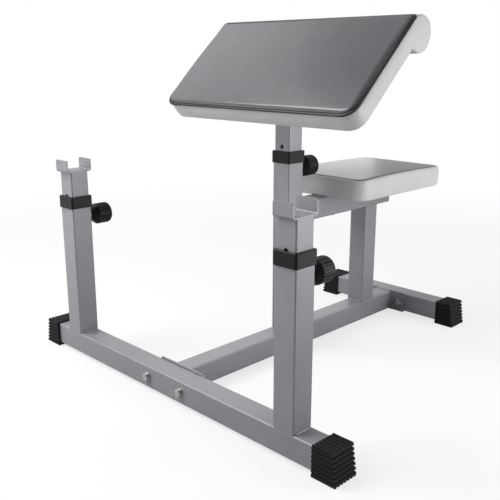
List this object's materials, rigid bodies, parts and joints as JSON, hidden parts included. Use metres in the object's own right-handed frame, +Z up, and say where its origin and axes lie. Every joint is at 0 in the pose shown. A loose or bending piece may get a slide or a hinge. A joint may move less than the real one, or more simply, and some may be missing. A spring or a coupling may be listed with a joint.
{
  "type": "preacher curl bench",
  "caption": "Free-standing preacher curl bench: square-tube frame with seat, sloping arm pad on a sliding post, and height-adjustable bar cradles locked by spring pull pins.",
  "frame": {"origin": "on the floor under the middle of the whole bench", "axes": "+X along the front base tube, from the left bar post to the right one as seen from in front; +Y from the bar posts back to the seat; +Z up"},
  "size_m": [0.934, 0.8768, 0.7889],
  "materials": {
    "grey_paint": "satin silver-grey powder coat",
    "black_plastic": "moulded, fine texture",
    "foot_rubber": "ribbed moulded rubber",
    "pale_vinyl": "pale grey upholstery vinyl",
    "dark_vinyl": "dark grey upholstery vinyl",
    "black_piping": "black vinyl piping",
    "plywood": "raw plywood",
    "spring_steel": "bare spring wire",
    "zinc_plated_steel": "bright zinc plate"
  },
  "bodies": {
    "frame": {"front_base_tube": "grey_paint", "rear_base_tube": "grey_paint", "center_base_tube": "grey_paint", "front_flange_plate": "grey_paint", "rear_flange_plate": "grey_paint", "flange_bolts": "zinc_plated_steel", "flange_washers": "zinc_plated_steel", "flange_nuts": "zinc_plated_steel", "front_left_foot": "foot_rubber", "front_right_foot": "foot_rubber", "rear_left_foot": "foot_rubber", "rear_right_foot": "foot_rubber", "left_upright_sleeve": "grey_paint", "right_upright_sleeve": "grey_paint", "pad_post_sleeve": "grey_paint", "left_collar": "black_plastic", "right_collar": "black_plastic", "pad_collar": "black_plastic", "left_pin_housing": "zinc_plated_steel", "right_pin_housing": "zinc_plated_steel", "pad_pin_housing": "zinc_plated_steel", "seat_post": "grey_paint", "seat_beam": "grey_paint", "seat_beam_cap": "black_plastic", "seat_board": "plywood", "seat_cushion": "pale_vinyl", "seat_top_panel": "dark_vinyl", "seat_bolts": "zinc_plated_steel", "seat_washers": "zinc_plated_steel", "seat_tee_nuts": "zinc_plated_steel"},
    "left_bar_carriage": {"left_bar_post": "grey_paint", "left_bar_cradle": "grey_paint"},
    "right_bar_carriage": {"right_bar_post": "grey_paint", "right_bar_cradle": "grey_paint"},
    "arm_pad_carriage": {"pad_post": "grey_paint", "pad_mount_plate": "grey_paint", "pad_board": "plywood", "pad_cushion": "pale_vinyl", "pad_front_panel": "dark_vinyl", "pad_piping": "black_piping", "pad_bolts": "zinc_plated_steel", "pad_washers": "zinc_plated_steel", "pad_tee_nuts": "zinc_plated_steel"},
    "left_pull_pin": {"left_pin": "zinc_plated_steel", "left_pin_spring": "spring_steel", "left_knob": "black_plastic"},
    "right_pull_pin": {"right_pin": "zinc_plated_steel", "right_pin_spring": "spring_steel", "right_knob": "black_plastic"},
    "pad_pull_pin": {"pad_pin": "zinc_plated_steel", "pad_pin_spring": "spring_steel", "pad_knob": "black_plastic"}
  },
  "joints": [
    {"name": "left_bar_height", "type": "slide", "parent": "frame", "child": "left_bar_carriage", "axis": [0, 0, 1], "range_m": [-0.052, 0.104]},
    {"name": "right_bar_height", "type": "slide", "parent": "frame", "child": "right_bar_carriage", "axis": [0, 0, 1], "range_m": [-0.052, 0.104]},
    {"name": "arm_pad_height", "type": "slide", "parent": "frame", "child": "arm_pad_carriage", "axis": [0, 0, 1], "range_m": [-0.052, 0.104]},
    {"name": "left_pin_pull", "type": "slide", "parent": "frame", "child": "left_pull_pin", "axis": [0, 1, 0], "range_m": [0, 0.01], "stiffness_N_per_m": 1500, "springref_m": -0.01, "deforming": ["left_pin_spring"]},
    {"name": "right_pin_pull", "type": "slide", "parent": "frame", "child": "right_pull_pin", "axis": [0, 1, 0], "range_m": [0, 0.01], "stiffness_N_per_m": 1500, "springref_m": -0.01, "deforming": ["right_pin_spring"]},
    {"name": "pad_pin_pull", "type": "slide", "parent": "frame", "child": "pad_pull_pin", "axis": [0, 1, 0], "range_m": [0, 0.01], "stiffness_N_per_m": 1500, "springref_m": -0.01, "deforming": ["pad_pin_spring"]}
  ]
}
